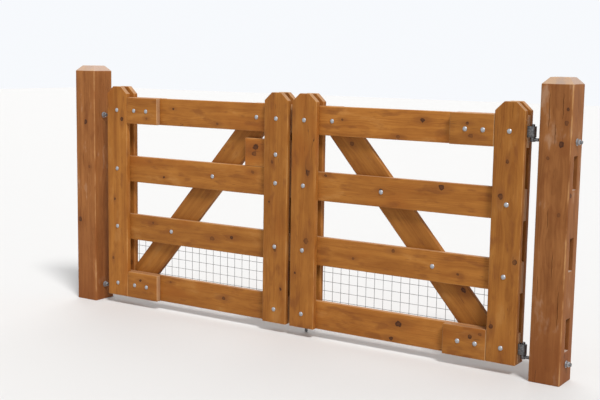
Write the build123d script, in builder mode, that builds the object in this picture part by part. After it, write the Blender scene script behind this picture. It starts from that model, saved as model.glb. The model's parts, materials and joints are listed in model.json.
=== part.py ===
from build123d import *
from math import atan2, ceil, degrees, hypot
import os

# Pair of timber garden gates between their two square posts, from ground level up.
# Sizes are in millimetres. The origin is the centre of the left post's foot, seen from the road.
# +X runs along the fence to the right post, +Y into the garden and +Z up.

# Posts
post_width = 150
post_height = 1390
post_arris = 4
cap_inset = 30
cap_drop = 32
opening = 2700

# Sockets in the outer faces of the posts, for the rails of the fence
socket_width = 50
socket_height = 150
socket_depth = 75
socket_pitch = 370
lowest_socket = 225
socket_count = 3

# Boards of a leaf: stiles in front and behind, rails between them
board_thickness = 32
board_arris = 2
stile_width = 150
stile_height = 1225
ear_width = 45
ear_drop = 42
rail_height = 150
rail_pitch = 338
ground_clearance = 50
hinge_gap = 75
meeting_gap = 24
cleat_length = 225
brace_width = 150
brace_top_inset = 223
brace_foot_drop = 15
latch_block_length = 258
latch_block_height = 150

# Hinges: a folded strap on the leaf and a bent bar, bolted through the post
strap_thickness = 8
strap_height = 50
strap_reach = 340
strap_corner = 15
recess_clearance = 0.5
pin_offset = 20
pin_clearance = 0.05
pin_overrun = 10
shoulder_width = 26
shoulder_height = 20
shoulder_sides = 8
seat_gap = 0.3
bore_clearance = 0.3
nut_flats = 24
nut_sides = 6
nut_thickness = 16
thread_overrun = 10

# Welded wire mesh over the lower part of each leaf's back
wire = 3
mesh_pitch = 50
rows_over_rails = 2

# Drop bolt on the back of the right leaf's meeting stile
rod_radius = 8
rod_tip = 3
rod_inset = 40
handle_rise = 34
handle_length = 90
handle_bend = 20
collar_radius = 12
collar_height = 6
guide_clearance = 0.5
guide_thickness = 4
guide_width = 64
guide_height = 40
lower_guide = 180
upper_guide = 545

# Places worked out from the sizes above
right_post_x = opening + post_width
leaf_width = (opening - 2 * hinge_gap - meeting_gap) / 2
leaf_back = 1.5 * board_thickness
layer_back = {
    "front": -board_thickness / 2,
    "middle": board_thickness / 2,
    "back": leaf_back,
}
rail_names = ["bottom", "lower", "upper", "top"]
rail_centre = {
    name: ground_clearance + rail_height / 2 + step * rail_pitch
    for step, name in enumerate(rail_names)
}
rail_span = rail_centre["top"] - rail_centre["bottom"] + rail_height
eye_radius = board_thickness / 2 - strap_thickness
bar_radius = eye_radius - pin_clearance
strap_start = {
    level: rail_centre[level] - strap_height / 2 for level in ("bottom", "top")
}
shank_height = {
    level: strap_start[level] - seat_gap - shoulder_height / 2 for level in ("bottom", "top")
}
socket_heights = [lowest_socket + step * socket_pitch for step in range(socket_count)]
rod_x = right_post_x / 2 + meeting_gap / 2 + rod_inset
rod_y = leaf_back + guide_thickness + guide_clearance + rod_radius


def outward(side):
    """Direction along X from a post's middle to the fence beside it."""
    if side == "left":
        return -1
    return 1


def post_x(side):
    """X of a post's middle."""
    if side == "left":
        return 0
    return right_post_x


def leaf_x(side, distance):
    """X of a point of a leaf, at a distance from its hinge edge."""
    hinge_edge = post_x(side) - outward(side) * (post_width / 2 + hinge_gap)
    return hinge_edge - outward(side) * distance


def along_fence(side, distance):
    """Plane that faces the fence, at a distance from the hinge pin towards the post."""
    pin_x = leaf_x(side, -pin_offset)
    direction = outward(side)
    return Plane(
        origin=(pin_x + direction * distance, 0, 0),
        x_dir=(0, direction, 0),
        z_dir=(direction, 0, 0),
    )


def facing_road(x, y, z):
    """Upright plane along the fence. An extrusion from it runs towards the road."""
    return Plane(origin=(x, y, z), x_dir=(1, 0, 0), z_dir=(0, -1, 0))


def write_piece(piece, node):
    """Label a finished piece and write its file."""
    piece.part.label = node
    export_step(piece.part, f"parts/{node}.step")


def build_post(side):
    """Square post with a weathered top, fence sockets and bores for the hinge bars."""
    centre = post_x(side)
    pin_to_post = hinge_gap - pin_offset
    outer_face = along_fence(side, pin_to_post + post_width)
    with BuildPart() as piece:
        with BuildSketch(Plane.XY) as section:
            with Locations((centre, 0)):
                Rectangle(post_width, post_width)
            chamfer(section.vertices(), length=post_arris)
        extrude(amount=post_height)
        for across, facing in (((1, 0, 0), (0, -1, 0)), ((0, 1, 0), (1, 0, 0))):
            with BuildSketch(Plane(origin=(centre, 0, 0), x_dir=across, z_dir=facing)):
                with BuildLine():
                    Polyline(
                        (post_width / 2 - cap_inset, post_height),
                        (post_width / 2, post_height),
                        (post_width / 2, post_height - cap_drop),
                        close=True,
                    )
                make_face()
                mirror(about=Plane.YZ)
            extrude(amount=post_width, both=True, mode=Mode.SUBTRACT)
        with BuildSketch(outer_face):
            with Locations(*[(0, height) for height in socket_heights]):
                Rectangle(socket_width, socket_height)
        extrude(amount=-socket_depth, mode=Mode.SUBTRACT)
        with BuildSketch(outer_face):
            with Locations(*[(0, height) for height in shank_height.values()]):
                Circle(bar_radius + bore_clearance)
        extrude(amount=-post_width, mode=Mode.SUBTRACT)
    return piece


def build_gudgeon(side, level):
    """Hinge pin on a shoulder, and its shank through the post with a nut on each side."""
    height = shank_height[level]
    seat = strap_start[level] - seat_gap
    inner_face = hinge_gap - pin_offset
    outer_face = inner_face + post_width
    shank_end = outer_face + nut_thickness + thread_overrun
    pin_top = strap_start[level] + strap_height + pin_overrun
    pin_x = leaf_x(side, -pin_offset)
    with BuildPart() as piece:
        with BuildSketch(along_fence(side, 0)):
            with Locations((0, height)):
                Circle(bar_radius)
        extrude(amount=shank_end)
        with BuildSketch(Plane.XY.offset(seat - shoulder_height)):
            with Locations((pin_x, 0)):
                RegularPolygon(
                    shoulder_width / 2,
                    shoulder_sides,
                    major_radius=False,
                    rotation=180 / shoulder_sides,
                )
        extrude(amount=shoulder_height)
        with BuildSketch(Plane.XY.offset(seat)):
            with Locations((pin_x, 0)):
                Circle(bar_radius)
        extrude(amount=pin_top - seat)
        for start in (inner_face - nut_thickness, outer_face):
            with BuildSketch(along_fence(side, start)):
                with Locations((0, height)):
                    RegularPolygon(
                        nut_flats / 2,
                        nut_sides,
                        major_radius=False,
                        rotation=180 / nut_sides,
                    )
            extrude(amount=nut_thickness)
    return piece


def build_strap(side, level):
    """Flat bar folded round the hinge pin, with one arm on each face of the rail."""
    pin_x = leaf_x(side, -pin_offset)
    arm_length = strap_reach + pin_offset
    arm_middle = leaf_x(side, arm_length / 2 - pin_offset)
    with BuildPart() as piece:
        with BuildSketch(Plane.XY.offset(strap_start[level])):
            with Locations((pin_x, 0)):
                Circle(board_thickness / 2)
            with Locations((arm_middle, 0)):
                Rectangle(arm_length, board_thickness)
                Rectangle(arm_length, 2 * eye_radius, mode=Mode.SUBTRACT)
            with Locations((pin_x, 0)):
                Circle(eye_radius, mode=Mode.SUBTRACT)
        extrude(amount=strap_height)
        # The four edges furthest from the pin are the corners of the arms' ends.
        across = piece.edges().filter_by(Axis.Y).sort_by_distance((pin_x, 0, strap_start[level]))
        fillet(across[-4:], radius=strap_corner)
    return piece


def build_board(layer, middle_x, middle_z, length, height):
    """Straight board with eased edges."""
    with BuildPart() as piece:
        with BuildSketch(facing_road(middle_x, layer_back[layer], middle_z)):
            Rectangle(length, height)
        extrude(amount=board_thickness)
        chamfer(piece.edges(), length=board_arris)
    return piece


def build_plain_rail(side, name):
    """Rail over the full width of the leaf."""
    return build_board(
        "middle", leaf_x(side, leaf_width / 2), rail_centre[name], leaf_width, rail_height
    )


def build_hinged_rail(side, level):
    """Rail that carries a hinge strap, let in flush in both its faces."""
    recess_length = strap_reach + pin_offset + recess_clearance
    recess_middle = leaf_x(side, recess_length / 2 - pin_offset)
    rail_middle = leaf_x(side, leaf_width / 2)
    with BuildPart() as piece:
        with BuildSketch(facing_road(rail_middle, layer_back["middle"], rail_centre[level])):
            Rectangle(leaf_width, rail_height)
        extrude(amount=board_thickness)
        chamfer(piece.edges(), length=board_arris)
        for start in (layer_back["middle"], -eye_radius):
            with BuildSketch(facing_road(recess_middle, start, rail_centre[level])):
                Rectangle(recess_length, strap_height + 2 * recess_clearance)
            extrude(amount=strap_thickness, mode=Mode.SUBTRACT)
    return piece


def build_stile(side, layer, distance):
    """Upright board with both top corners cut off. The distance is to its middle."""
    half = stile_width / 2
    foot = facing_road(leaf_x(side, distance), layer_back[layer], ground_clearance)
    with BuildPart() as piece:
        with BuildSketch(foot):
            with BuildLine():
                Polyline(
                    (-half, 0),
                    (half, 0),
                    (half, stile_height - ear_drop),
                    (half - ear_width, stile_height),
                    (ear_width - half, stile_height),
                    (-half, stile_height - ear_drop),
                    close=True,
                )
            make_face()
        extrude(amount=board_thickness)
        chamfer(piece.edges(), length=board_arris)
    return piece


def build_cleat(side, layer, level):
    """Short board beside the hinge stile, which clamps the strap to the rail."""
    middle = stile_width + cleat_length / 2
    return build_board(
        layer, leaf_x(side, middle), rail_centre[level], cleat_length, rail_height
    )


def build_brace(side):
    """Sloping board behind the rails, from the foot of the hinge stile up to the top rail."""
    top_x = leaf_x(side, leaf_width - brace_top_inset)
    top_z = rail_centre["top"]
    foot_x = leaf_x(side, stile_width)
    foot_z = rail_centre["bottom"] - brace_foot_drop
    slope = degrees(atan2(top_z - foot_z, top_x - foot_x))
    uncut_length = hypot(top_x - foot_x, top_z - foot_z) + 2 * brace_width
    frame_middle = (rail_centre["bottom"] + rail_centre["top"]) / 2
    with BuildPart() as piece:
        with BuildSketch(facing_road(0, leaf_back, 0)):
            with Locations(((top_x + foot_x) / 2, (top_z + foot_z) / 2)):
                Rectangle(uncut_length, brace_width, rotation=slope)
            with Locations((leaf_x(side, leaf_width / 2), frame_middle)):
                Rectangle(leaf_width - 2 * stile_width, rail_span, mode=Mode.INTERSECT)
        extrude(amount=board_thickness)
        chamfer(piece.edges(), length=board_arris)
    return piece


def build_latch_block():
    """Block between the stile boards, on the left leaf's upper rail."""
    middle_x = leaf_x("left", leaf_width - latch_block_length / 2)
    middle_z = rail_centre["upper"] + rail_height / 2 + latch_block_height / 2
    return build_board(
        "middle", middle_x, middle_z, latch_block_length, latch_block_height
    )


def build_mesh(side):
    """Flat grid of wires over the back of the leaf's lowest gap, lapped on to the stiles."""
    columns = ceil((leaf_width - 2 * stile_width) / mesh_pitch) + 1
    rows = ceil((rail_pitch - rail_height) / mesh_pitch) + rows_over_rails
    middle_x = leaf_x(side, leaf_width / 2)
    middle_z = (rail_centre["bottom"] + rail_centre["lower"]) / 2
    with BuildPart() as piece:
        with BuildSketch(facing_road(middle_x, leaf_back + wire, middle_z)):
            Rectangle(columns * mesh_pitch + wire, rows * mesh_pitch + wire)
            with GridLocations(mesh_pitch, mesh_pitch, columns, rows):
                Rectangle(mesh_pitch - wire, mesh_pitch - wire, mode=Mode.SUBTRACT)
        extrude(amount=wire)
    return piece


def build_rod():
    """Drop bolt: a round rod bent over into a handle, with a collar that stops its fall."""
    collar_start = upper_guide + guide_height + seat_gap
    handle_height = upper_guide + guide_height + handle_rise
    with BuildPart() as piece:
        with BuildLine():
            FilletPolyline(
                (rod_x, rod_y, rod_tip),
                (rod_x, rod_y, handle_height),
                (rod_x + handle_length, rod_y, handle_height),
                radius=handle_bend,
            )
        with BuildSketch(Plane.XY.offset(rod_tip)):
            with Locations((rod_x, rod_y)):
                Circle(rod_radius)
        sweep()
        with BuildSketch(Plane.XY.offset(collar_start)):
            with Locations((rod_x, rod_y)):
                Circle(collar_radius)
        extrude(amount=collar_height)
    return piece


def build_guide(start):
    """Guide of the drop bolt: a base plate with a loop round the rod."""
    loop_inside = rod_radius + guide_clearance
    loop_outside = loop_inside + guide_thickness
    with BuildPart() as piece:
        with BuildSketch(Plane.XY.offset(start)):
            with Locations((rod_x, leaf_back + guide_thickness / 2)):
                Rectangle(guide_width, guide_thickness)
            with Locations((rod_x, (leaf_back + rod_y) / 2)):
                Rectangle(2 * loop_outside, rod_y - leaf_back)
            with Locations((rod_x, rod_y)):
                Circle(loop_outside)
                Circle(loop_inside, mode=Mode.SUBTRACT)
            with Locations((rod_x, (leaf_back + guide_thickness + rod_y) / 2)):
                Rectangle(
                    2 * loop_inside,
                    rod_y - leaf_back - guide_thickness,
                    mode=Mode.SUBTRACT,
                )
        extrude(amount=guide_height)
    return piece


os.makedirs("parts", exist_ok=True)

hinge_stile = stile_width / 2
meeting_stile = leaf_width - stile_width / 2

for side in ("left", "right"):
    write_piece(build_post(side), f"{side}_post")
    for level in ("top", "bottom"):
        write_piece(build_gudgeon(side, level), f"{side}_{level}_gudgeon")
        write_piece(build_strap(side, level), f"{side}_{level}_hinge_strap")
        write_piece(build_hinged_rail(side, level), f"{side}_{level}_rail")
        write_piece(build_cleat(side, "front", level), f"{side}_{level}_cleat_front")
    write_piece(build_cleat(side, "back", "top"), f"{side}_top_cleat_back")
    write_piece(build_plain_rail(side, "upper"), f"{side}_upper_rail")
    write_piece(build_plain_rail(side, "lower"), f"{side}_lower_rail")
    for layer in ("front", "back"):
        write_piece(build_stile(side, layer, hinge_stile), f"{side}_hinge_stile_{layer}")
        write_piece(build_stile(side, layer, meeting_stile), f"{side}_meeting_stile_{layer}")
    write_piece(build_brace(side), f"{side}_brace")
    write_piece(build_mesh(side), f"{side}_mesh")

write_piece(build_latch_block(), "left_latch_block")
write_piece(build_rod(), "drop_rod")
write_piece(build_guide(lower_guide), "lower_rod_guide")
write_piece(build_guide(upper_guide), "upper_rod_guide")
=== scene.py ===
import json
import math
import random
from collections import Counter

import bpy
from mathutils import Matrix, Vector


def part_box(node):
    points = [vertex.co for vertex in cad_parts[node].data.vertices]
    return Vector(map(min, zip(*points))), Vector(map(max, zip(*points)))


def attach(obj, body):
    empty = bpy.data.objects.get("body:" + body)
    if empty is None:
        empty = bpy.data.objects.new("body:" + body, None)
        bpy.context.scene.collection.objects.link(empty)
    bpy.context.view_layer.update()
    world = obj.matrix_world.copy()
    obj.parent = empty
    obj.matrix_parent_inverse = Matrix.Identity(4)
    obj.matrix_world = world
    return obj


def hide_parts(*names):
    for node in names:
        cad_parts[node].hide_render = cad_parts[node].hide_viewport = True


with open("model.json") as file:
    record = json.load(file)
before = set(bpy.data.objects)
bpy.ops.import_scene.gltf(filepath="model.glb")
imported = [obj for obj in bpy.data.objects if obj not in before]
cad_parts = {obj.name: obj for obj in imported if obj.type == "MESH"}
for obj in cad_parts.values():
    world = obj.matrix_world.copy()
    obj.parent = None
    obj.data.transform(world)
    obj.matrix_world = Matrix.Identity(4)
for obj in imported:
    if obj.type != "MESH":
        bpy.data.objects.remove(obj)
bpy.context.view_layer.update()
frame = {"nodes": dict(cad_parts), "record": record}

SIDES = ("left", "right")
LEVELS = ("top", "bottom")
RAILS = ("top", "upper", "lower", "bottom")
UP = Vector((0, 0, 1))
NO_TURN = Matrix.Identity(4)

# What each solid is made of, and the body that it moves with
slots = {part["node"]: part["material_slot"] for part in frame["record"]["subparts"]}
bodies = {node: body for body, nodes in frame["record"]["behaviour"]["bodies"].items()
          for node in nodes}

# Sizes of the gate, read from its solids
post_low, post_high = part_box("left_post")
stile_low, stile_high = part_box("left_hinge_stile_front")
rail_low, rail_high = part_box("left_upper_rail")
post_width = post_high.x - post_low.x
board_thickness = stile_high.y - stile_low.y
stile_width = stile_high.x - stile_low.x
leaf_width = rail_high.x - rail_low.x
leaf_front = stile_low.y
leaf_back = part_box("left_hinge_stile_back")[1].y


def middle_of(node):
    """Middle of a solid's box."""
    low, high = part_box(node)
    return (low + high) / 2


def middle_height(node):
    """Height of a solid's middle."""
    low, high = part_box(node)
    return (low.z + high.z) / 2


def leaf_x(side, distance):
    """X of a point of a leaf, at a distance from its hinge edge."""
    low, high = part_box(f"{side}_upper_rail")
    return low.x + distance if side == "left" else high.x - distance


# Nodes of a material

def set_inputs(tree, node, inputs):
    """Set a node's inputs, or link those that are given another node's output."""
    for key, value in inputs.items():
        if isinstance(value, bpy.types.NodeSocket):
            tree.links.new(value, node.inputs[key])
        else:
            node.inputs[key].default_value = value


def add_node(tree, kind, inputs=None, **settings):
    """A node with its settings and inputs."""
    node = tree.nodes.new(kind)
    for name, value in settings.items():
        setattr(node, name, value)
    set_inputs(tree, node, inputs or {})
    return node


def calculate(tree, operation, first, second=0.0, third=0.0):
    """One step of arithmetic."""
    node = add_node(tree, "ShaderNodeMath", operation=operation,
                    inputs={0: first, 1: second, 2: third})
    return node.outputs[0]


def times(tree, first, second):
    """Product of two values."""
    return calculate(tree, "MULTIPLY", first, second)


def swing(tree, value, waves, reach):
    """A value moved up and down by noise, which lies about one half."""
    return calculate(tree, "MULTIPLY_ADD", calculate(tree, "SUBTRACT", waves, 0.5), reach, value)


def spread(tree, value, low, high, to_low=0.0, to_high=1.0):
    """Move a value smoothly from one range to another."""
    node = add_node(tree, "ShaderNodeMapRange", interpolation_type="SMOOTHSTEP",
                    inputs={"Value": value, "From Min": low, "From Max": high,
                            "To Min": to_low, "To Max": to_high})
    return node.outputs["Result"]


def length_of(tree, first, second):
    """Length of a step with two legs."""
    return calculate(tree, "SQRT", calculate(
        tree, "MULTIPLY_ADD", first, first, times(tree, second, second)))


def parts_of(tree, vector):
    """The three parts of a vector."""
    return add_node(tree, "ShaderNodeSeparateXYZ", inputs={0: vector}).outputs


def add_vectors(tree, first, second):
    """Sum of two vectors."""
    node = add_node(tree, "ShaderNodeVectorMath", operation="ADD", inputs={0: first, 1: second})
    return node.outputs[0]


def blend_colours(tree, share, first, second):
    """Mix of two colours, with a share of the second."""
    # The node keeps inputs 6 and 7 and output 2 for colours.
    node = add_node(tree, "ShaderNodeMix", data_type="RGBA",
                    inputs={0: share, 6: first, 7: second})
    return node.outputs[2]


def noise(tree, place, stretch, detail, roughness):
    """Noise whose grain is set along and across the timber by three scales."""
    scaled = add_node(tree, "ShaderNodeVectorMath", operation="MULTIPLY",
                      inputs={0: place, 1: stretch})
    node = add_node(tree, "ShaderNodeTexNoise", inputs={
        "Vector": scaled.outputs[0], "Scale": 1.0, "Detail": detail, "Roughness": roughness})
    return node.outputs["Fac"]


def all_noises(tree, place, table):
    """The noises of a table at a place, by name."""
    return {name: noise(tree, place, *settings) for name, settings in table.items()}


def bump(tree, height, strength, distance):
    """Normals of a surface with fine relief."""
    node = add_node(tree, "ShaderNodeBump", inputs={
        "Height": height, "Strength": strength, "Distance": distance})
    return node.outputs["Normal"]


def new_group(name, inputs, outputs):
    """An empty group with named inputs and outputs, and what it is given, by name."""
    group = bpy.data.node_groups.new(name, "ShaderNodeTree")
    for in_out, sockets in (("INPUT", inputs), ("OUTPUT", outputs)):
        for kind, names in sockets.items():
            for socket in names:
                group.interface.new_socket(socket, in_out=in_out, socket_type=f"NodeSocket{kind}")
    return group, add_node(group, "NodeGroupInput").outputs


def use_group(tree, group, inputs):
    """A group with its inputs set or linked, as its outputs by name."""
    return add_node(tree, "ShaderNodeGroup", node_tree=group, inputs=inputs).outputs


def new_material(name):
    """A material with its nodes and its surface shader."""
    material = bpy.data.materials.new(name)
    material.use_nodes = True
    tree = material.node_tree
    return material, tree, tree.nodes["Principled BSDF"]


# Knots: least radius, then stretches along the grain, wobble and push on the grain in radii
least_knot = 0.0001
knot_stretch = 0.85
halo_stretch = 0.38
knot_wobble = 1.5
knot_push = 0.75


def knot_group():
    """One knot: its core, its dark rim, the stained wood round it and the grain pushed aside.

    Knot holds its place along and across the timber and its radius, which is zero for no knot.
    Turn is the side that it comes out on. It starts at Root from the timber's middle.
    """
    group, given = new_group(
        "knot",
        inputs={"Vector": ("Place", "Knot"), "Float": ("Turn", "Root", "Wobble")},
        outputs={"Float": ("Core", "Rim", "Halo", "Push")})
    turned = add_node(group, "ShaderNodeVectorRotate", rotation_type="X_AXIS", inputs={
        "Vector": given["Place"], "Angle": given["Turn"]}).outputs[0]
    place = parts_of(group, turned)
    knot = parts_of(group, given["Knot"])
    radius = calculate(group, "MAXIMUM", knot[2], least_knot)
    present = times(group, calculate(group, "GREATER_THAN", knot[2], least_knot),
                    calculate(group, "GREATER_THAN", place[2], given["Root"]))
    along = calculate(group, "DIVIDE", calculate(group, "SUBTRACT", place[0], knot[0]), radius)
    across = calculate(group, "DIVIDE", calculate(group, "SUBTRACT", place[1], knot[1]), radius)
    wobble = calculate(group, "MULTIPLY_ADD", given["Wobble"], knot_wobble, -knot_wobble / 2)
    near = length_of(group, times(group, along, knot_stretch), across)
    near = calculate(group, "ADD", near, wobble)
    far = length_of(group, times(group, along, halo_stretch), across)
    core = times(group, present, spread(group, near, 0.8, 1.15, 1.0, 0.0))
    rim = times(group, core, spread(group, near, 0.35, 0.95))
    halo = times(group, present, spread(group, far, 0.6, 3.2, 1.0, 0.0))
    push = times(group, halo, times(group, across, times(group, radius, -knot_push)))
    add_node(group, "NodeGroupOutput", inputs={
        "Core": core, "Rim": rim, "Halo": halo, "Push": push})
    return group


KNOT = knot_group()

# Noises of the timber: waves in a metre along, across and through it, detail and roughness
KNOT_NOISES = {
    "wobble": ((62.0, 62.0, 62.0), 2.0, 0.5),
    "ripeness": ((6.0, 14.0, 14.0), 0.0, 0.5),
}
GRAIN_NOISES = {
    "bow": ((0.9, 0.0, 0.0), 1.0, 0.5),
    "sway": ((3.5, 6.0, 6.0), 2.0, 0.5),
    "wander": ((3.0, 3.0, 3.0), 2.0, 0.5),
    "fibre": ((7.0, 320.0, 320.0), 3.0, 0.65),
    "streak": ((1.5, 30.0, 30.0), 3.0, 0.6),
    "patch": ((2.4, 7.0, 7.0), 2.0, 0.5),
    "fleck": ((16.0, 190.0, 190.0), 1.0, 0.5),
    "cloud": ((5.0, 12.0, 12.0), 4.0, 0.6),
    "smudge": ((9.0, 24.0, 24.0), 3.0, 0.5),
    "check line": ((2.4, 34.0, 34.0), 1.0, 0.5),
    "check place": ((2.1, 9.0, 9.0), 1.0, 0.5),
}

# How far the noises bend the rings, in metres, and how much they change the tone
RING_SWINGS = {"bow": 0.08, "sway": 0.016}
TONE_SWINGS = {"fibre": 0.55, "streak": 1.0, "cloud": 0.8}
depth_swing = 0.04
late_wood_tone = -0.17
middle_tone = 0.66
seed_steps = (7.31, 3.17, 5.73)

# Colours of what marks the timber
HALO_STAIN = (0.20, 0.061, 0.0135, 1)
DAMP_STAIN = (0.19, 0.049, 0.009, 1)
KNOT_CORE = (0.085, 0.028, 0.010, 1)
KNOT_RIM = (0.026, 0.010, 0.005, 1)
RESIN = (0.09, 0.030, 0.010, 1)
CHECK_SHADOW = (0.02, 0.008, 0.004, 1)
# Pale arrises: partly wear, partly a painted highlight along the edges
WORN_ARRIS_AND_HIGHLIGHT = (0.68, 0.40, 0.17, 1)


def timber_group(name, knot_count):
    """Solid timber: yearly rings round a pith, fibre, knots, flecks, checks and end grain.

    Place is measured from the timber's middle: along the grain, across its width and through it.
    Up tells how far a face looks up, and Damp whether the timber has a damp foot.
    """
    numbers = range(knot_count)
    group, given = new_group(
        name,
        inputs={"Vector": ("Place", "Facing", *(f"Knot {number}" for number in numbers)),
                "Float": ("Seed", "Pith across", "Pith depth", "Ring gap", "Checks", "Scuffs",
                          "Root", "Up", "Damp", *(f"Turn {number}" for number in numbers)),
                "Color": ("Light", "Dark", "Stain", "Scuff", "End")},
        outputs={"Color": ("Colour",), "Float": ("Roughness", "Height")})
    shift = add_node(group, "ShaderNodeCombineXYZ", inputs={
        part: times(group, given["Seed"], step)
        for part, step in enumerate(seed_steps)}).outputs[0]

    # Knots come first, because the grain parts round them.
    unmoved = add_vectors(group, given["Place"], shift)
    knotty = all_noises(group, unmoved, KNOT_NOISES)
    ripeness = spread(group, knotty["ripeness"], 0.36, 0.6, 0.45, 1.0)
    found = {"Core": 0.0, "Rim": 0.0, "Halo": 0.0, "Push": 0.0}
    for number in numbers:
        knot = use_group(group, KNOT, {
            "Place": given["Place"], "Knot": given[f"Knot {number}"],
            "Turn": given[f"Turn {number}"], "Root": given["Root"], "Wobble": knotty["wobble"]})
        for name in found:
            step = "ADD" if name == "Push" else "MAXIMUM"
            found[name] = calculate(group, step, found[name], knot[name])
    core = times(group, found["Core"], ripeness)
    rim = times(group, found["Rim"], ripeness)
    aside = add_node(group, "ShaderNodeCombineXYZ", inputs={1: found["Push"]}).outputs[0]
    moved = add_vectors(group, given["Place"], aside)
    parts = parts_of(group, moved)
    place = add_vectors(group, moved, shift)
    grain = all_noises(group, place, GRAIN_NOISES)

    # Yearly rings round the pith
    across = calculate(group, "SUBTRACT", parts[1], given["Pith across"])
    for name, reach in RING_SWINGS.items():
        across = swing(group, across, grain[name], reach)
    depth = calculate(group, "SUBTRACT", parts[2], given["Pith depth"])
    depth = swing(group, depth, grain["wander"], depth_swing)
    radius = length_of(group, across, depth)
    ring = calculate(group, "FRACT", calculate(group, "DIVIDE", radius, given["Ring gap"]))
    late_wood = times(group, spread(group, ring, 0.2, 0.85),
                      spread(group, ring, 0.88, 1.0, 1.0, 0.0))
    ring_strength = spread(group, grain["sway"], 0.35, 0.65, 0.25, 1.0)

    # Drying checks: narrow cracks along the grain, in places only
    check_line = calculate(
        group, "ABSOLUTE", calculate(group, "SUBTRACT", grain["check line"], 0.5))
    check_place = spread(group, grain["check place"],
                         calculate(group, "SUBTRACT", 1.0, given["Checks"]),
                         calculate(group, "SUBTRACT", 1.05, given["Checks"]))
    check = times(group, spread(group, check_line, 0.003, 0.010, 1.0, 0.0), check_place)

    # End grain, where a face looks along the timber, and arrises, between wide and narrow faces
    facing = parts_of(group, given["Facing"])
    end_grain = spread(group, calculate(group, "ABSOLUTE", facing[0]), 0.35, 0.6)
    wide_face = calculate(group, "ABSOLUTE", facing[2])
    # Arrises and the caps' chamfers are painted paler: partly wear, partly a painted highlight.
    arris = times(group, spread(group, wide_face, 0.2, 0.45),
                  spread(group, wide_face, 0.88, 0.97, 1.0, 0.0))
    arris = times(group, arris, spread(group, grain["cloud"], 0.4, 0.62))

    # Flecks of resin and smudges anywhere, tops made paler by bleaching and by painted top light,
    # and a foot that is dark with damp
    fleck = spread(group, grain["fleck"], 0.72, 0.78)
    smudge = spread(group, grain["smudge"], 0.55, 0.72)
    bleach_and_top_light = spread(group, given["Up"], 0.80, 0.97)
    damp = times(group, given["Damp"], spread(group, parts[0], -0.72, -0.1, 1.0, 0.0))

    tone = calculate(group, "MULTIPLY_ADD", times(group, late_wood, ring_strength),
                     late_wood_tone, middle_tone)
    for name, reach in TONE_SWINGS.items():
        tone = swing(group, tone, grain[name], reach)
    colour = blend_colours(group, spread(group, tone, 0.1, 1.1), given["Dark"], given["Light"])
    stained = spread(group, grain["patch"], 0.52, 0.72, 0.0, 0.6)
    colour = blend_colours(group, stained, colour, given["Stain"])
    scuffed = times(group, given["Scuffs"], spread(group, grain["cloud"], 0.58, 0.72))
    colour = blend_colours(group, scuffed, colour, given["Scuff"])
    # Tops are paler from bleaching and from painted top light; arrises are paler from wear and
    # from a painted highlight.
    for share, strength, stain in (
            (smudge, 0.55, HALO_STAIN), (damp, 0.5, DAMP_STAIN), (bleach_and_top_light, 0.42, given["End"]),
            (found["Halo"], 0.5, HALO_STAIN), (core, 0.9, KNOT_CORE), (rim, 0.75, KNOT_RIM),
            (fleck, 0.5, RESIN), (check, 0.85, CHECK_SHADOW), (end_grain, 0.6, given["End"]),
            (arris, 0.35, WORN_ARRIS_AND_HIGHLIGHT)):
        colour = blend_colours(group, times(group, share, strength), colour, stain)

    roughness = calculate(group, "MULTIPLY_ADD", grain["fibre"], 0.25, 0.55)
    height = times(group, late_wood, 0.35)
    for relief, strength in ((grain["fibre"], 0.5), (check, -3.0), (core, 0.5)):
        height = calculate(group, "MULTIPLY_ADD", relief, strength, height)
    add_node(group, "NodeGroupOutput", inputs={
        "Colour": colour, "Roughness": roughness, "Height": height})
    return group


# The two timbers by slot: groups with room for so many knots, then wear and tones
TIMBERS = {
    "leaf_timber": timber_group("board_timber", 5),
    "post_timber": timber_group("post_timber", 9),
}
WEAR = {
    "leaf_timber": {"Scuffs": 0.2, "Root": -1.0, "Damp": 0.0},
    "post_timber": {"Scuffs": 0.6, "Root": 0.02, "Damp": 1.0},
}
ring_gap = 0.006
check_share = 0.3
# The End tone colours end grain and paler tops; the posts' very pale one is partly a painted
# highlight on their caps.
TONES = {
    "leaf_timber": {
        "Light": (0.505, 0.199, 0.035), "Dark": (0.285, 0.091, 0.0132),
        "Stain": (0.357, 0.108, 0.015), "Scuff": (0.595, 0.308, 0.104),
        "End": (0.54, 0.33, 0.185),
    },
    "post_timber": {
        "Light": (0.402, 0.157, 0.044), "Dark": (0.210, 0.066, 0.0138),
        "Stain": (0.298, 0.109, 0.031), "Scuff": (0.50, 0.30, 0.182),
        "End": (0.68, 0.545, 0.455),
    },
}

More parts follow.
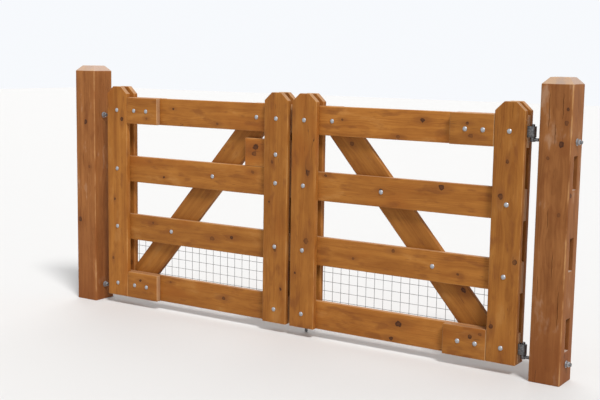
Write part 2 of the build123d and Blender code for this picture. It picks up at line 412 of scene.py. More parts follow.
# Knots that show from the front: X and height of each, and its radius
FRONT_KNOTS = {
    "left_post": ((0.005, 1.06, 0.01), (-0.05, 0.48, 0.012), (0.03, 0.8, 0.007)),
    "right_post": ((2.88, 1.095, 0.012), (2.903, 1.25, 0.007), (2.9, 1.19, 0.009),
                   (2.822, 1.03, 0.007), (2.885, 0.78, 0.008)),
    "left_hinge_stile_front": ((0.264, 1.09, 0.01), (0.205, 0.62, 0.006), (0.19, 0.27, 0.007)),
    "left_meeting_stile_front": ((1.316, 0.912, 0.007), (1.344, 0.445, 0.008),
                                 (1.3, 0.7, 0.005), (1.38, 0.24, 0.007)),
    "right_meeting_stile_front": ((1.539, 0.87, 0.013), (1.535, 0.515, 0.014),
                                  (1.47, 0.34, 0.006)),
    "right_hinge_stile_front": ((2.622, 1.0, 0.008), (2.594, 0.838, 0.011),
                                (2.677, 0.54, 0.011), (2.575, 0.222, 0.01)),
    "left_top_rail": ((0.62, 1.16, 0.006), (0.93, 1.09, 0.007)),
    "left_latch_block": ((1.188, 0.98, 0.015), (1.178, 0.944, 0.013)),
    "left_upper_rail": ((1.17, 0.845, 0.008), (0.55, 0.77, 0.006)),
    "left_lower_rail": ((0.9, 0.455, 0.012), (1.03, 0.475, 0.01), (0.47, 0.5, 0.006)),
    "left_bottom_rail": ((0.98, 0.13, 0.01), (0.6, 0.17, 0.006)),
    "left_top_cleat_front": ((0.45, 1.1, 0.006),),
    "left_bottom_cleat_front": ((0.4, 0.16, 0.007),),
    "left_brace": ((0.88, 0.82, 0.011), (0.52, 0.4, 0.009)),
    "right_top_rail": ((2.17, 1.168, 0.01), (2.04, 1.08, 0.008), (1.72, 1.15, 0.006)),
    "right_top_cleat_front": ((2.437, 1.108, 0.01), (2.415, 1.165, 0.007)),
    "right_upper_rail": ((2.28, 0.85, 0.012), (1.95, 0.81, 0.008), (1.63, 0.86, 0.007)),
    "right_lower_rail": ((2.03, 0.515, 0.009), (2.38, 0.44, 0.007), (1.8, 0.45, 0.006)),
    "right_bottom_rail": ((2.07, 0.15, 0.014), (2.03, 0.07, 0.01)),
    "right_bottom_cleat_front": ((2.468, 0.155, 0.01), (2.52, 0.175, 0.008)),
    "right_brace": ((1.76, 1.03, 0.01), (1.99, 0.78, 0.008), (2.4, 0.36, 0.012)),
}

# How light the timbers are that show from the front
SHADES = {
    "left_post": 1.02, "right_post": 0.85,
    "left_hinge_stile_front": 0.91, "left_meeting_stile_front": 0.84,
    "right_meeting_stile_front": 0.87, "right_hinge_stile_front": 0.80,
    "left_top_rail": 0.96, "left_upper_rail": 0.92,
    "left_lower_rail": 0.84, "left_bottom_rail": 0.87,
    "right_top_rail": 1.02, "right_upper_rail": 0.92,
    "right_lower_rail": 0.91, "right_bottom_rail": 0.95,
    "left_brace": 0.80, "right_brace": 0.78, "left_latch_block": 1.06,
    "left_top_cleat_front": 0.90, "left_bottom_cleat_front": 0.86,
    "right_top_cleat_front": 0.82, "right_bottom_cleat_front": 0.82,
}


def timber_material(node, axes, shade, seed, pith, knots):
    """Timber of one board or post, with its grain along it and its own rings and knots."""
    material, tree, shader = new_material(f"{node}_timber")
    along, across = axes
    turn = Matrix((along, across, along.cross(across))).transposed().to_euler()
    source = add_node(tree, "ShaderNodeTexCoord").outputs
    settings = {
        "Place": add_node(tree, "ShaderNodeMapping", vector_type="TEXTURE", inputs={
            "Vector": source["Object"], "Location": middle_of(node),
            "Rotation": turn}).outputs[0],
        "Facing": add_node(tree, "ShaderNodeMapping", vector_type="TEXTURE", inputs={
            "Vector": source["Normal"], "Rotation": turn}).outputs[0],
        "Up": parts_of(tree, source["Normal"])[2], "Seed": seed,
        "Pith across": pith[0], "Pith depth": pith[1],
        "Ring gap": ring_gap, "Checks": check_share}
    settings.update(WEAR[slots[node]])
    for name, tone in TONES[slots[node]].items():
        settings[name] = (*(shade * part for part in tone), 1)
    for number, (knot, side_turn) in enumerate(knots):
        settings[f"Knot {number}"] = knot
        settings[f"Turn {number}"] = side_turn
    timber = use_group(tree, TIMBERS[slots[node]], settings)
    set_inputs(tree, shader, {
        "Base Color": timber["Colour"], "Roughness": timber["Roughness"],
        "Normal": bump(tree, timber["Height"], strength=0.5, distance=0.0006),
        "Specular IOR Level": 0.2})
    return material


def metal_material(name, colour, dark, roughness, speck):
    """Metal with a mottled surface. Speck tells how many mottles there are in a metre."""
    material, tree, shader = new_material(name)
    place = add_node(tree, "ShaderNodeTexCoord").outputs["Object"]
    mottle = noise(tree, place, (speck, speck, speck), detail=4.0, roughness=0.6)
    set_inputs(tree, shader, {
        "Base Color": blend_colours(tree, spread(tree, mottle, 0.3, 0.7), dark, colour),
        "Roughness": spread(tree, mottle, 0.3, 0.7, roughness + 0.15, roughness),
        "Normal": bump(tree, mottle, strength=0.25, distance=0.0003),
        "Metallic": 0.85})
    return material


ZINC = metal_material("bolt_zinc", (0.52, 0.53, 0.55, 1), (0.30, 0.31, 0.33, 1),
                      roughness=0.36, speck=260)
WIRE = metal_material("wire_zinc", (0.40, 0.40, 0.40, 1), (0.20, 0.20, 0.20, 1),
                      roughness=0.5, speck=300)
# Dull zinc for hinges, straps, rod and guides, darker than the bolts partly as painted shade of
# the hinges' place between leaves and posts.
SHADE_DARKENED_STEEL = metal_material("hinge_zinc_shade_darkened", (0.27, 0.275, 0.28, 1), (0.11, 0.112, 0.115, 1),
                       roughness=0.45, speck=120)


# Modelling helpers

sharp_angle = 30


def pick(piece):
    """Select one piece alone and make it the active one."""
    bpy.ops.object.select_all(action="DESELECT")
    piece.select_set(True)
    bpy.context.view_layer.objects.active = piece


def open_mesh(piece):
    """Pick a piece and edit its mesh, with all of it selected."""
    pick(piece)
    bpy.ops.object.mode_set(mode="EDIT")
    bpy.ops.mesh.select_all(action="SELECT")


def close_mesh():
    """End the editing of a mesh."""
    bpy.ops.object.mode_set(mode="OBJECT")


def apply_modifier(piece, name, kind, **settings):
    """Change a piece's mesh with a modifier."""
    pick(piece)
    modifier = piece.modifiers.new(name, kind)
    for key, value in settings.items():
        setattr(modifier, key, value)
    bpy.ops.object.modifier_apply(modifier=modifier.name)


def shade_smooth(piece, angle):
    """Shade a piece smooth, apart from edges sharper than an angle in degrees."""
    pick(piece)
    bpy.ops.object.shade_smooth_by_angle(angle=math.radians(angle))


def round_edges(piece, width, segments=2, sharp=sharp_angle):
    """Round a piece's edges that are sharper than an angle in degrees."""
    apply_modifier(piece, "round", "BEVEL", width=width, segments=segments,
                   limit_method="ANGLE", angle_limit=math.radians(sharp))
    shade_smooth(piece, angle=40)
    return piece


def settle(piece):
    """Put a piece's place, turn and size into its mesh."""
    pick(piece)
    bpy.ops.object.transform_apply(location=True, rotation=True, scale=True)
    return piece


def move_mesh(piece, place, turn=NO_TURN):
    """Turn a piece's mesh about the origin, then move it."""
    piece.data.transform(Matrix.Translation(place) @ turn)
    return piece


def place_copy(model, place, turn=NO_TURN):
    """Copy of a piece with a mesh of its own, turned and moved."""
    copy = bpy.data.objects.new(model.name, model.data.copy())
    bpy.context.collection.objects.link(copy)
    return move_mesh(copy, place, turn)


def add_cylinder(name, radius, start, end, sides=24):
    """Closed cylinder between two points."""
    line = Vector(end) - Vector(start)
    bpy.ops.mesh.primitive_cylinder_add(
        vertices=sides, radius=radius, depth=line.length,
        location=(Vector(start) + Vector(end)) / 2,
        rotation=line.to_track_quat("Z", "Y").to_euler())
    piece = bpy.context.object
    piece.name = name
    return settle(piece)


def join_pieces(name, pieces):
    """One piece from several."""
    pick(pieces[0])
    for piece in pieces:
        piece.select_set(True)
    bpy.ops.object.join()
    pieces[0].name = name
    return pieces[0]


def give_material(piece, material):
    """Let a whole piece have one material."""
    piece.data.materials.clear()
    piece.data.materials.append(material)


def finish_piece(piece, body, material, stands_for=()):
    """Material and body of a finished piece, and the solids that it stands for."""
    give_material(piece, material)
    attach(piece, body)
    if stands_for:
        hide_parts(*stands_for)


# Timber: every board and post is a worn copy of its solid, with a material of its own

same_point = 0.00002
flat_angle = 0.5
slice_step = 0.03
face_step = 0.04
edge_strip = 0.005
short_edge = 0.0008
wave_length = 0.2
face_wave = 0.0007
dent_length = 0.035
arris_dent = 0.0016
arris_round = 0.0009
latch_block_growth = 0.039
least_slant = 0.05
level_edge = 0.001


def brace_axes(node):
    """Directions up along a brace and across it, from its longest slanting edge."""
    mesh = frame["nodes"][node].data
    lines = [mesh.vertices[edge.vertices[1]].co - mesh.vertices[edge.vertices[0]].co
             for edge in mesh.edges]
    slanting = [line for line in lines
                if min(abs(line.x), abs(line.z)) > least_slant and abs(line.y) < level_edge]
    along = max(slanting, key=lambda line: line.length).normalized()
    if along.z < 0:
        along.negate()
    return along, Vector((-along.z, 0, along.x))


def board_axes(node):
    """Directions along the grain of a board or post and across it."""
    if "brace" in node:
        return brace_axes(node)
    if "post" in node:
        return UP, Vector((1, 0, 0))
    if "stile" in node:
        return UP, Vector((-1, 0, 0))
    return Vector((1, 0, 0)), UP


def copy_of_node(node, name):
    """A piece from a merged copy of a solid's mesh, with its flat faces whole again."""
    piece = bpy.data.objects.new(name, frame["nodes"][node].data.copy())
    bpy.context.collection.objects.link(piece)
    open_mesh(piece)
    bpy.ops.mesh.customdata_custom_splitnormals_clear()
    bpy.ops.mesh.remove_doubles(threshold=same_point)
    bpy.ops.mesh.dissolve_limited(angle_limit=math.radians(flat_angle))
    close_mesh()
    return piece


def lengthen_block(piece):
    """Draw the latch block's free end out towards the hinges."""
    end = min(vertex.co.x for vertex in piece.data.vertices)
    for vertex in piece.data.vertices:
        if vertex.co.x < end + edge_strip:
            vertex.co.x -= latch_block_growth


def even_steps(piece, direction, step):
    """Where to slice a piece: at even steps, and close to both ends."""
    reach = [vertex.co.dot(direction) for vertex in piece.data.vertices]
    low, high = min(reach), max(reach)
    count = max(1, round((high - low) / step))
    places = [low + (high - low) * number / count for number in range(1, count)]
    return [low + edge_strip] + places + [high - edge_strip]


def slice_piece(piece, direction, places):
    """Cut a piece's faces along flat planes, at places along a direction."""
    open_mesh(piece)
    for place in places:
        bpy.ops.mesh.select_all(action="SELECT")
        bpy.ops.mesh.bisect(plane_co=direction * place, plane_no=direction)
    close_mesh()


def push_in(piece, name, scale, strength, group=""):
    """Push a piece's surface in here and there, by no more than the strength."""
    clouds = bpy.data.textures.new(name, "CLOUDS")
    clouds.noise_scale = scale
    apply_modifier(piece, name, "DISPLACE", texture=clouds, texture_coords="LOCAL",
                   strength=strength, mid_level=1.0, vertex_group=group)


def wear_timber(piece, along, across, checks):
    """Wave a timber's faces a little, dent its arrises, round them and open its checks."""
    through = along.cross(across)
    for direction, step in ((along, slice_step), (across, face_step), (through, face_step)):
        slice_piece(piece, direction, even_steps(piece, direction, step))
    open_mesh(piece)
    bpy.ops.mesh.remove_doubles(threshold=short_edge)
    bpy.ops.mesh.select_all(action="DESELECT")
    bpy.ops.mesh.edges_select_sharp(sharpness=math.radians(sharp_angle))
    close_mesh()
    worn = [vertex.index for vertex in piece.data.vertices if vertex.select]
    piece.vertex_groups.new(name="arrises").add(worn, 1.0, "REPLACE")
    push_in(piece, "waves", wave_length, face_wave)
    push_in(piece, "dents", dent_length, arris_dent, "arrises")
    piece.vertex_groups.clear()
    round_edges(piece, arris_round, sharp=20)
    cut_checks(piece, checks)
    shade_smooth(piece, angle=35)


# Drying checks that are open: how many, where, and the least and greatest of their sizes

checks_per_face = 7
checks_spread = 0.096
checks_shift = 0.003
high_checks = (1.13, 1.30)
low_checks = (0.15, 1.0)
post_check_length = (0.05, 0.17)
post_check_width = (0.0016, 0.0032)
post_check_depth = (0.008, 0.014)
star_checks = 5
star_heart = 0.006
star_turn = 0.3
star_length = (0.022, 0.034)
star_width = 0.0018
star_depth = 0.012
stile_check_drop = 0.01
stile_check_aside = (0.004, 0.026)
stile_check_length = (0.07, 0.16)
stile_check_width = (0.0012, 0.002)
stile_check_depth = 0.007
front_check_share = 0.7
check_sway = 0.0012
check_bends = 19
check_phase = 50


def model_check(place, along, across, length, width, depth):
    """Cutter for one drying check: a thin spindle on a timber's surface, a little crooked."""
    bpy.ops.mesh.primitive_uv_sphere_add(segments=8, ring_count=14, radius=1)
    turn = Matrix((across, along.cross(across), along)).transposed().to_4x4()
    size = Matrix.Diagonal((width / 2, depth, length / 2, 1))
    cutter = move_mesh(bpy.context.object, place, turn @ size)
    for vertex in cutter.data.vertices:
        reach = (vertex.co - place).dot(along) / length
        wave = math.sin(check_bends * reach + check_phase * place.z)
        vertex.co += across * (check_sway * wave)
    return cutter


def is_closed(mesh):
    """Whether every edge of a mesh joins two faces."""
    uses = Counter(edge for face in mesh.polygons for edge in face.edge_keys)
    return all(count == 2 for count in uses.values())


def cut_checks(piece, cutters):
    """Take the checks out of a timber one by one, and leave out one that would spoil it."""
    for cutter in cutters:
        uncut = piece.data.copy()
        apply_modifier(piece, "check", "BOOLEAN",
                       operation="DIFFERENCE", solver="EXACT", object=cutter)
        if len(piece.data.polygons) < len(uncut.polygons) or not is_closed(piece.data):
            piece.data = uncut
        bpy.data.objects.remove(cutter)


def post_checks(node, chooser):
    """Drying checks of a post: high and low by turns on its sides, and a star on its top."""
    low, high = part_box(node)
    middle = middle_of(node)
    cutters = []
    for turn in range(4):
        outward = Matrix.Rotation(turn * math.pi / 2, 3, "Z") @ Vector((0, -1, 0))
        across = UP.cross(outward)
        face = Vector((middle.x, middle.y, 0)) + outward * ((high.x - low.x) / 2)
        for number in range(checks_per_face):
            height = chooser.uniform(*(high_checks if number % 2 else low_checks))
            aside = checks_spread * (number / (checks_per_face - 1) - 0.5)
            aside += chooser.uniform(-checks_shift, checks_shift)
            cutters.append(model_check(
                face + across * aside + UP * height, UP, across,
                chooser.uniform(*post_check_length), chooser.uniform(*post_check_width),
                chooser.uniform(*post_check_depth)))
    for number in range(star_checks):
        angle = number * math.tau / star_checks + chooser.uniform(-star_turn, star_turn)
        along = Vector((math.cos(angle), math.sin(angle), 0))
        length = chooser.uniform(*star_length)
        place = Vector((middle.x, middle.y, high.z)) + along * (star_heart + length / 2)
        cutters.append(model_check(
            place, along, along.cross(UP), length, star_width, star_depth))
    return cutters


def stile_checks(node, chooser):
    """Two drying checks that run down from a stile's top, one on each side of its middle."""
    low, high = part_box(node)
    cutters = []
    for number in (-1, 1):
        face = low.y if chooser.random() < front_check_share else high.y
        aside = number * chooser.uniform(*stile_check_aside)
        place = Vector(((low.x + high.x) / 2 + aside, face, high.z - stile_check_drop))
        cutters.append(model_check(
            place, UP, Vector((-1, 0, 0)), chooser.uniform(*stile_check_length),
            chooser.uniform(*stile_check_width), stile_check_depth))
    return cutters


# Knots by chance, on faces that don't look to the front

chance_reach = 0.42
chance_aside = 0.05
chance_radius = (0.005, 0.012)


def knots_of(node, along, across, chooser):
    """A timber's knots in its own directions, with the turn of the side that each is on."""
    is_post = "post" in node
    middle = middle_of(node)
    mirror, front_turn = (-1, math.pi) if is_post else (1, 0.0)
    knots = []
    for x, height, radius in FRONT_KNOTS.get(node, ()):
        place = Vector((x, middle.y, height)) - middle
        knots.append(((place.dot(along), mirror * place.dot(across), radius), front_turn))
    low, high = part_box(node)
    reach = chance_reach * max(high.x - low.x, high.z - low.z)
    turns = ()
    if is_post:
        turns = (0.0, math.pi / 2, -math.pi / 2, chooser.choice((0.0, math.pi / 2)))
    elif not knots:
        turns = (0.0,) * chooser.randint(1, 3)
    for turn in turns:
        place = (chooser.uniform(-reach, reach), chooser.uniform(-chance_aside, chance_aside))
        knots.append(((*place, chooser.uniform(*chance_radius)), turn))
    return knots


# What chance gives a timber: the seed of its grain, its shade and the place of its pith

chance_seed = (1, 90)
chance_shade = (0.84, 1.0)
board_pith_across = 0.03
board_pith_depth = (0.035, 0.09)
post_pith_share = 0.6
post_pith_depth = 0.015
timber_draw = 31


def model_timber():
    """Every board and post is worn and gets timber of its own."""
    chooser = random.Random(timber_draw)
    for node in sorted(frame["nodes"]):
        if slots[node] not in TIMBERS:
            continue
        along, across = board_axes(node)
        knots = knots_of(node, along, across, chooser)
        seed = chooser.uniform(*chance_seed)
        pith = (chooser.uniform(-board_pith_across, board_pith_across),
                chooser.choice((-1, 1)) * chooser.uniform(*board_pith_depth))
        shade = chooser.uniform(*chance_shade)
        checks = []
        if "post" in node:
            checks = post_checks(node, chooser)
            pith = (pith[0] * post_pith_share, post_pith_depth)
        elif "stile" in node:
            checks = stile_checks(node, chooser)
        piece = copy_of_node(node, f"{node}_worn")
        if node == "left_latch_block":
            lengthen_block(piece)
        wear_timber(piece, along, across, checks)
        material = timber_material(
            node, (along, across), SHADES.get(node, shade), seed, pith, knots)
        finish_piece(piece, bodies[node], material, [node])


model_timber()


# Bolts of the leaves

bolt_head_radius = 0.0125
bolt_head_height = 0.006
bolt_head_edge = 0.0012
bolt_radius = 0.006
bolt_nut_flats = 0.019
bolt_nut_height = 0.010
bolt_pitch = 0.00175
bolt_washer_radius = 0.015
bolt_washer_height = 0.0025
bolt_overrun = 0.005
washer_round = 0.0006
nut_corner = 0.05
thread_root = 0.9
bolt_draw = 8

# Distances of bolts: the cleats' from a leaf's hinge edge, the brace's from its other edge
cleat_bolts = (0.205, 0.295)
BRACE_BOLTS = {"top": 0.223, "upper": 0.515, "lower": 0.808}


def model_cup_head():
    """Domed bolt head at the origin, with its dome towards the front."""
    dome_radius = (bolt_head_radius ** 2 + bolt_head_height ** 2) / (2 * bolt_head_height)
    bpy.ops.mesh.primitive_uv_sphere_add(
        segments=20, ring_count=24, radius=dome_radius,
        location=(0, dome_radius - bolt_head_height, 0), rotation=(math.pi / 2, 0, 0))
    head = settle(bpy.context.object)
    open_mesh(head)
    bpy.ops.mesh.bisect(plane_co=(0, -bolt_head_edge, 0), plane_no=(0, 1, 0), clear_outer=True)
    bpy.ops.mesh.select_all(action="DESELECT")
    bpy.ops.mesh.select_non_manifold(extend=False)
    bpy.ops.mesh.extrude_region_move(TRANSFORM_OT_translate={"value": (0, bolt_head_edge, 0)})
    bpy.ops.mesh.edge_face_add()
    bpy.ops.mesh.select_all(action="SELECT")
    bpy.ops.mesh.normals_make_consistent(inside=False)
    close_mesh()
    shade_smooth(head, angle=40)
    head.name = "cup_head"
    return head


def model_nut(flats, height):
    """Six-sided nut at the origin, standing towards the back, with its corners eased."""
    bpy.ops.mesh.primitive_cylinder_add(
        vertices=6, radius=flats / math.sqrt(3), depth=height,
        location=(0, height / 2, 0), rotation=(math.pi / 2, 0, 0))
    nut = settle(bpy.context.object)
    open_mesh(nut)
    bpy.ops.mesh.bevel(offset=flats * nut_corner, segments=2, affect="EDGES")
    close_mesh()
    shade_smooth(nut, angle=30)
    nut.name = "nut"
    return nut


def model_thread(radius, start, end, pitch):
    """Threaded end of a bolt along Y, as a stack of ridges."""
    bpy.ops.mesh.primitive_circle_add(
        vertices=20, radius=radius * thread_root, fill_type="NGON",
        location=(0, start, 0), rotation=(-math.pi / 2, 0, 0))
    thread = settle(bpy.context.object)
    open_mesh(thread)
    for _ in range(round((end - start) / pitch)):
        for swell in (1 / thread_root, thread_root):
            bpy.ops.mesh.extrude_region_move(TRANSFORM_OT_translate={"value": (0, pitch / 2, 0)})
            bpy.ops.transform.resize(value=(swell, 1, swell))
    bpy.ops.mesh.select_all(action="SELECT")
    bpy.ops.mesh.normals_make_consistent(inside=False)
    close_mesh()
    thread.name = "thread"
    return thread


def model_bolt_end():
    """Washer, nut and threaded end of a bolt at the origin, towards the back."""
    washer = add_cylinder("washer", bolt_washer_radius, (0, 0, 0), (0, bolt_washer_height, 0))
    round_edges(washer, washer_round)
    nut = move_mesh(model_nut(bolt_nut_flats, bolt_nut_height), (0, bolt_washer_height, 0))
    nut_top = bolt_washer_height + bolt_nut_height
    thread = model_thread(bolt_radius, nut_top, nut_top + bolt_overrun, bolt_pitch)
    return join_pieces("bolt_end", [washer, nut, thread])


def bolt_places(side):
    """Where a leaf's bolts go: distance from its hinge edge, height, front and back faces."""
    heights = {name: middle_height(f"{side}_{name}_rail") for name in RAILS}
    rail_front, rail_back = leaf_front + board_thickness, leaf_back - board_thickness
    meeting_stile = leaf_width - stile_width / 2
    places = []
    for name in RAILS:
        for distance in (stile_width / 2, meeting_stile):
            places.append((distance, heights[name], leaf_front, leaf_back))
    for distance in cleat_bolts:
        places.append((distance, heights["top"], leaf_front, leaf_back))
    for distance, back in zip(cleat_bolts, (leaf_back, rail_back)):
        places.append((distance, heights["bottom"], leaf_front, back))
    for name, inset in BRACE_BOLTS.items():
        places.append((leaf_width - inset, heights[name], rail_front, leaf_back))
    if side == "left":
        places.append((meeting_stile, middle_height("left_latch_block"), leaf_front, leaf_back))
    return places


def fit_bolts():
    """The leaves' bolts: heads at the front, washers, nuts and threads at the back."""
    head = model_cup_head()
    end = model_bolt_end()
    chooser = random.Random(bolt_draw)
    for side in SIDES:
        heads, ends = [], []
        for distance, height, front, back in bolt_places(side):
            turn = Matrix.Rotation(chooser.uniform(0, math.tau), 4, "Y")
            x = leaf_x(side, distance)
            heads.append(place_copy(head, (x, front, height), turn))
            ends.append(place_copy(end, (x, back, height), turn))
        for name, bolts in (("heads", heads), ("ends", ends)):
            bolts = join_pieces(f"{side}_leaf_bolt_{name}", bolts)
            finish_piece(bolts, f"{side}_leaf", ZINC)
    bpy.data.objects.remove(head)
    bpy.data.objects.remove(end)


fit_bolts()


# Wire mesh of round wires, uprights next to the timber and level wires behind them

wire_radius = 0.00125
wire_pitch = 0.05
wire_lap = 1.7


def wire_row(low, high):
    """How many wires lie between two places, and where the first one lies."""
    count = round((high - low) / wire_pitch) + 1
    return count, (low + high - (count - 1) * wire_pitch) / 2


def model_wire_mesh(side):
    """The wires of a leaf: one upright and one level wire, each repeated."""
    low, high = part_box(f"{side}_mesh")
    columns, first_x = wire_row(low.x, high.x)
    rows, first_z = wire_row(low.z, high.z)
    upright_y = low.y + wire_radius
    level_y = upright_y + wire_lap * wire_radius
    upright = add_cylinder("upright_wire", wire_radius, (first_x, upright_y, low.z),
                           (first_x, upright_y, high.z), sides=8)
    level = add_cylinder("level_wire", wire_radius, (low.x, level_y, first_z),
                         (high.x, level_y, first_z), sides=8)
    for wire, count, step in ((upright, columns, (wire_pitch, 0, 0)),
                              (level, rows, (0, 0, wire_pitch))):
        apply_modifier(wire, "row", "ARRAY", use_relative_offset=False, count=count,
                       use_constant_offset=True, constant_offset_displace=step)
        shade_smooth(wire, angle=60)
    mesh = join_pieces(f"{side}_wire_mesh", [upright, level])
    finish_piece(mesh, f"{side}_leaf", WIRE, [f"{side}_mesh"])


# Staples that hold the wires to the stiles and the brace

staple_half_width = 0.0045
staple_wire = 0.0009
staple_rise = 0.0052
staple_bite = 0.0004
staple_inset = 0.012


def model_staple():
    """Round-backed staple at the origin, standing towards the back over a level wire."""
    bpy.ops.mesh.primitive_torus_add(
        major_radius=staple_half_width, minor_radius=staple_wire,
        major_segments=24, minor_segments=8, rotation=(0, math.pi / 2, 0))
    staple = settle(bpy.context.object)
    open_mesh(staple)
    bpy.ops.mesh.bisect(plane_co=(0, -staple_bite, 0), plane_no=(0, 1, 0),
                        clear_inner=True, use_fill=True)
    bpy.ops.mesh.select_all(action="SELECT")
    rise = staple_rise / staple_half_width
    bpy.ops.transform.resize(value=(1, rise, 1), center_override=(0, 0, 0))
    bpy.ops.mesh.normals_make_consistent(inside=False)
    close_mesh()
    shade_smooth(staple, angle=50)
    return staple


def fit_staples(side):
    """Staples on a leaf's level wires: at both stiles and at the brace by turns."""
    low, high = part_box(f"{side}_mesh")
    rows, first_z = wire_row(low.z, high.z)
    along = board_axes(f"{side}_brace")[0]
    brace = middle_of(f"{side}_brace")
    staple = model_staple()
    staples = []
    for row in range(rows):
        height = first_z + row * wire_pitch
        reach = [low.x + staple_inset, high.x - staple_inset]
        if row % 2:
            reach = [brace.x + (height - brace.z) * along.x / along.z]
        for x in reach:
            staples.append(place_copy(staple, (x, leaf_back, height)))
    bpy.data.objects.remove(staple)
    staples = join_pieces(f"{side}_mesh_staples", staples)
    finish_piece(staples, f"{side}_leaf", WIRE)


for side in SIDES:
    model_wire_mesh(side)
for side in SIDES:
    fit_staples(side)


# Hinges: a gudgeon through each post, and the folded straps

pin_offset = 0.020
pin_radius = 0.0078
pin_root = 0.006
pin_round = 0.0018
shank_drop = 0.0103
shank_reach = 0.004
shoulder_radius = 0.013
shoulder_height = 0.010
shoulder_round = 0.003
thread_radius = 0.00795
thread_pitch = 0.002
thread_shown = 0.012
thread_hidden = 0.002
neck_lap = 0.001
hinge_nut_flats = 0.024
hinge_nut_depth = 0.016
hinge_washer_radius = 0.0165
hinge_washer_height = 0.003
strap_round = 0.0012


def lie_outward(piece, distance):
    """Turn a piece that stands towards the back so that it lies along X, and move it."""
    return move_mesh(piece, (distance, 0, 0), Matrix.Rotation(-math.pi / 2, 4, "Z"))


def add_shaft(name, start, end):
    """Plain length of a gudgeon's shank, on the way to the post."""
    return add_cylinder(name, pin_radius, (start, 0, 0), (end, 0, 0), sides=32)


def add_thread(start, length):
    """Threaded length of a gudgeon's shank."""
    return lie_outward(model_thread(thread_radius, 0, length, thread_pitch), start)


def model_gudgeon(side, level):
    """Hinge pin on its shoulder, with a threaded shank, two nuts and two washers."""
    node = f"{side}_{level}_gudgeon"
    low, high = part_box(node)
    pin_x = leaf_x(side, -pin_offset)
    shank_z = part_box(f"{side}_{level}_hinge_strap")[0].z - shank_drop
    inner_face = abs(middle_of(f"{side}_post").x - pin_x) - post_width / 2
    outer_face = inner_face + post_width
    shank_end = max(abs(low.x - pin_x), abs(high.x - pin_x))
    inner_nut = inner_face - hinge_nut_depth
    outer_nut = outer_face + hinge_nut_depth
    thread_start = inner_nut - thread_shown
    pin = add_cylinder("pin", pin_radius, (0, 0, -pin_root), (0, 0, high.z - shank_z), sides=32)
    shoulder = add_cylinder("shoulder", shoulder_radius, (0, 0, -shoulder_height),
                            (0, 0, shoulder_height), sides=32)
    pieces = [
        round_edges(pin, pin_round, segments=3),
        round_edges(shoulder, shoulder_round, segments=3),
        add_shaft("neck", 0, thread_start + neck_lap),
        add_shaft("shank", inner_nut + thread_hidden, outer_face + shank_reach),
        add_thread(thread_start, thread_shown + thread_hidden),
        add_thread(outer_nut - thread_hidden, shank_end - outer_nut + thread_hidden),
    ]
    nuts = []
    for face, step in ((inner_face, -1), (outer_face, 1)):
        washer = add_cylinder("washer", hinge_washer_radius, (face, 0, 0),
                              (face + step * hinge_washer_height, 0, 0), sides=32)
        nuts.append(round_edges(washer, washer_round))
        nut = model_nut(hinge_nut_flats, hinge_nut_depth - hinge_washer_height)
        start = inner_nut if step < 0 else outer_face + hinge_washer_height
        nuts.append(lie_outward(nut, start))
    gudgeon = join_pieces(f"{node}_forged", pieces)
    nuts = join_pieces(f"{node}_nuts", nuts)
    turn = Matrix.Rotation(math.pi, 4, "Z") if side == "left" else NO_TURN
    for piece in (gudgeon, nuts):
        move_mesh(piece, (pin_x, 0, shank_z), turn)
    finish_piece(gudgeon, bodies[node], SHADE_DARKENED_STEEL, [node])
    finish_piece(nuts, bodies[node], ZINC)


def model_forging(node, width):
    """A steel piece like its solid, with its edges eased."""
    piece = round_edges(copy_of_node(node, f"{node}_forged"), width, segments=3)
    finish_piece(piece, bodies[node], SHADE_DARKENED_STEEL, [node])


for side in SIDES:
    for level in LEVELS:
        model_gudgeon(side, level)
        model_forging(f"{side}_{level}_hinge_strap", strap_round)


# Drop bolt: the rod and its two guides, each held by two screws

rod_round = 0.0016
guide_round = 0.0008
guide_plate = 0.004
screw_spread = 0.0225
screw_flats = 0.010
screw_head = 0.0042
screw_turn = 0.4


def model_guide(node):
    """A guide of the rod with its edges eased, and the two screws that hold it."""
    middle = middle_of(node)
    plate_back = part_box(node)[0].y + guide_plate
    pieces = [round_edges(copy_of_node(node, node), guide_round)]
    for number in (-1, 1):
        place = (middle.x + number * screw_spread, plate_back, middle.z)
        turn = Matrix.Rotation(screw_turn * number, 4, "Y")
        pieces.append(move_mesh(model_nut(screw_flats, screw_head), place, turn))
    guide = join_pieces(f"{node}_folded", pieces)
    finish_piece(guide, bodies[node], SHADE_DARKENED_STEEL, [node])


model_forging("drop_rod", rod_round)
model_guide("lower_rod_guide")
model_guide("upper_rod_guide")


# Camera, lamps and floor

camera_place = Vector((4.481, -4.624, 1.462))
aim_point = Vector((1.464, 0.0, 0.718))
camera_roll = math.radians(0.9)
camera_lens = 64

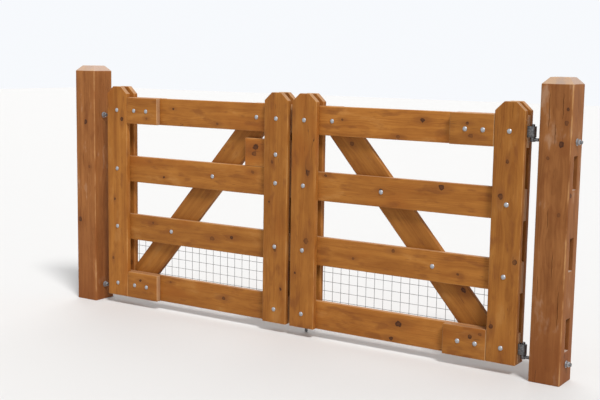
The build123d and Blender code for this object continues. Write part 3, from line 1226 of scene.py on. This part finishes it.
# Direction, strength and softness in degrees of each lamp
LAMPS = {
    "key_light": ((-0.62, 0.45, -1.0), 2.64, 14),
    "back_light": ((0.50, -0.70, -0.60), 0.85, 50),
}
studio_strength = 0.485
studio_colour = (0.93, 0.95, 0.98, 1)
floor_size = 60
floor_middle = (1.4, 0, 0)
floor_colour = (0.72, 0.71, 0.695, 1)


def set_camera():
    """The camera at the photograph's place, aimed at the gate and rolled a little."""
    data = bpy.data.cameras.new("camera")
    data.lens = camera_lens
    camera = bpy.data.objects.new("camera", data)
    bpy.context.collection.objects.link(camera)
    aim = (aim_point - camera_place).to_track_quat("-Z", "Y").to_matrix().to_4x4()
    roll = Matrix.Rotation(camera_roll, 4, "Z")
    camera.matrix_world = Matrix.Translation(camera_place) @ aim @ roll
    bpy.context.scene.camera = camera


def add_sun(name, direction, strength, softness):
    """Distant lamp that shines along a direction."""
    data = bpy.data.lights.new(name, "SUN")
    data.energy = strength
    data.angle = math.radians(softness)
    lamp = bpy.data.objects.new(name, data)
    lamp.rotation_euler = Vector(direction).to_track_quat("-Z", "Y").to_euler()
    bpy.context.collection.objects.link(lamp)


def set_studio():
    """Even light from all round, which looks brighter than it shines."""
    world = bpy.data.worlds.new("studio")
    bpy.context.scene.world = world
    world.use_nodes = True
    tree = world.node_tree
    rays = add_node(tree, "ShaderNodeLightPath").outputs
    seen = calculate(tree, "MAXIMUM", rays["Is Camera Ray"], rays["Is Glossy Ray"])
    set_inputs(tree, tree.nodes["Background"], {
        "Strength": spread(tree, seen, 0.0, 1.0, studio_strength, 1.0), "Color": studio_colour})


def lay_floor():
    """Pale floor that belongs to the studio."""
    bpy.ops.mesh.primitive_plane_add(size=floor_size, location=floor_middle)
    floor = bpy.context.object
    floor.name = "floor"
    material, tree, shader = new_material("pale_floor")
    set_inputs(tree, shader, {"Base Color": floor_colour, "Roughness": 0.9})
    give_material(floor, material)


set_camera()
for name, settings in LAMPS.items():
    add_sun(name, *settings)
set_studio()
lay_floor()

bpy.context.scene.view_settings.view_transform = "Standard"
